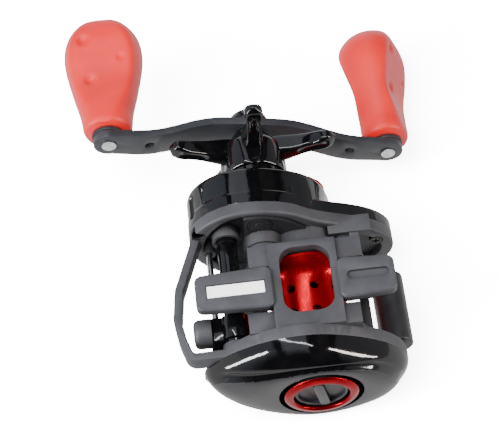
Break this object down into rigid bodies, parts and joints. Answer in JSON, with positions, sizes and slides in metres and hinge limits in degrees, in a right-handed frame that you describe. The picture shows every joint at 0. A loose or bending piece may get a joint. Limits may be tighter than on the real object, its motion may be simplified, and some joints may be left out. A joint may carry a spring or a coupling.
{
  "type": "baitcasting reel",
  "caption": "Low-profile baitcasting fishing reel with double-knob handle, star drag, drilled spool, line guide, thumb bar, brake dial and rod foot.",
  "frame": {"origin": "centre of the reel foot's seat face", "axes": "+X forward towards the rod tip and the line guide, +Y along the handle shaft towards the handle, +Z away from the rod"},
  "size_m": [0.1167, 0.14, 0.0564],
  "materials": {
    "frame_grey": "fine-textured dark grey moulding",
    "gloss_black": "polished black",
    "satin_black": "satin black",
    "red_anodised": "red anodised",
    "knob_red": "soft-touch red",
    "label_white": "blank label",
    "steel": "machined steel",
    "stainless": "polished stainless",
    "dark_screw": "blackened steel",
    "brass": "machined brass",
    "nylon": "natural nylon",
    "arm_black": "matte black anodised arm",
    "carbon": "woven drag washer",
    "ceramic": "dark ceramic",
    "magnet": "nickel plated",
    "dial_grey": "satin grey"
  },
  "bodies": {
    "reel_body": {"frame": "frame_grey", "inner_side_plate": "satin_black", "foot_label": "label_white", "gear_side_cover": "gloss_black", "palm_side_plate": "gloss_black", "brake_plate": "satin_black", "dial_bezel": "red_anodised", "cover_screws": "dark_screw", "worm_shield": "gloss_black", "guide_rod": "stainless", "worm_bushing_palm": "nylon", "worm_bushing_gear": "nylon", "palm_bearing": "steel", "frame_bearing": "steel", "cover_bearing": "steel", "drive_bearing": "steel", "anti_reverse_bearing": "steel", "yoke_posts": "steel"},
    "crank": {"drive_shaft": "steel", "drive_gear": "brass", "levelwind_drive_gear": "nylon", "drag_washer": "carbon", "drag_plate": "steel", "anti_reverse_sleeve": "steel", "spring_washers": "steel", "handle_arm": "arm_black", "arm_washer": "gloss_black", "handle_nut": "steel", "nut_cover": "gloss_black", "knob_spindles": "stainless", "knob_collars": "satin_black"},
    "star": {"drag_star": "gloss_black", "star_nut": "brass"},
    "front_knob": {"knob_front": "knob_red", "knob_bushes_front": "nylon"},
    "rear_knob": {"knob_rear": "knob_red", "knob_bushes_rear": "nylon"},
    "spool_assembly": {"spool": "red_anodised", "spool_shaft": "stainless", "clutch_pin": "steel", "brake_rotor": "steel"},
    "yoke": {"clutch_yoke": "nylon"},
    "pinion_gear": {"pinion": "brass"},
    "thumb_lever": {"thumb_bar": "satin_black"},
    "worm": {"worm_shaft": "steel", "worm_gear": "nylon"},
    "guide_carriage": {"line_guide": "gloss_black", "line_eye": "ceramic", "pawl": "steel", "pawl_cap": "frame_grey"},
    "dial": {"brake_dial": "dial_grey"},
    "magnet_holder": {"magnet_carrier": "nylon", "magnets": "magnet"},
    "cap": {"tension_cap": "red_anodised", "tension_shim": "brass"}
  },
  "joints": [
    {"name": "handle_turn", "type": "hinge", "parent": "reel_body", "child": "crank", "pos_m": [0.0082, 0, 0.01438], "axis": [0, 1, 0], "continuous": true},
    {"name": "star_turn", "type": "hinge", "parent": "crank", "child": "star", "pos_m": [0.0082, 0, 0.01438], "axis": [0, 1, 0], "range_deg": [-180, 180]},
    {"name": "front_knob_spin", "type": "hinge", "parent": "crank", "child": "front_knob", "pos_m": [0.05477, 0, 0.00276], "axis": [0, 1, 0], "continuous": true},
    {"name": "rear_knob_spin", "type": "hinge", "parent": "crank", "child": "rear_knob", "pos_m": [-0.03837, 0, 0.02599], "axis": [0, 1, 0], "continuous": true},
    {"name": "spool_turn", "type": "hinge", "parent": "reel_body", "child": "spool_assembly", "pos_m": [-0.0043, 0, 0.0223], "axis": [0, 1, 0], "continuous": true},
    {"name": "thumb_bar_press", "type": "slide", "parent": "reel_body", "child": "thumb_lever", "axis": [0, 0, -1], "range_m": [0, 0.004]},
    {"name": "yoke_slide", "type": "slide", "parent": "reel_body", "child": "yoke", "axis": [0, 1, 0], "range_m": [0, 0.0016]},
    {"name": "pinion_turn", "type": "hinge", "parent": "yoke", "child": "pinion_gear", "pos_m": [-0.0043, 0, 0.0223], "axis": [0, 1, 0], "continuous": true},
    {"name": "worm_turn", "type": "hinge", "parent": "reel_body", "child": "worm", "pos_m": [0.0199, 0, 0.01171], "axis": [0, 1, 0], "continuous": true},
    {"name": "line_guide_slide", "type": "slide", "parent": "reel_body", "child": "guide_carriage", "axis": [0, 1, 0], "range_m": [0, 0.0164]},
    {"name": "brake_dial_turn", "type": "hinge", "parent": "reel_body", "child": "dial", "pos_m": [-0.0043, 0, 0.0223], "axis": [0, -1, 0], "range_deg": [0, 270]},
    {"name": "magnet_slide", "type": "slide", "parent": "reel_body", "child": "magnet_holder", "axis": [0, 1, 0], "range_m": [0, 0.0011]},
    {"name": "tension_cap_turn", "type": "hinge", "parent": "reel_body", "child": "cap", "pos_m": [-0.0043, 0, 0.0223], "axis": [0, 1, 0], "range_deg": [-180, 180]}
  ],
  "couplings": [
    {"joint": "spool_turn", "follows": "handle_turn", "ratio": -6.4},
    {"joint": "pinion_turn", "follows": "handle_turn", "ratio": -6.4},
    {"joint": "worm_turn", "follows": "handle_turn", "ratio": -1.6667},
    {"joint": "yoke_slide", "follows": "thumb_bar_press", "ratio": 0.4},
    {"joint": "magnet_slide", "follows": "brake_dial_turn", "m_per_rad": 0.00023343}
  ]
}
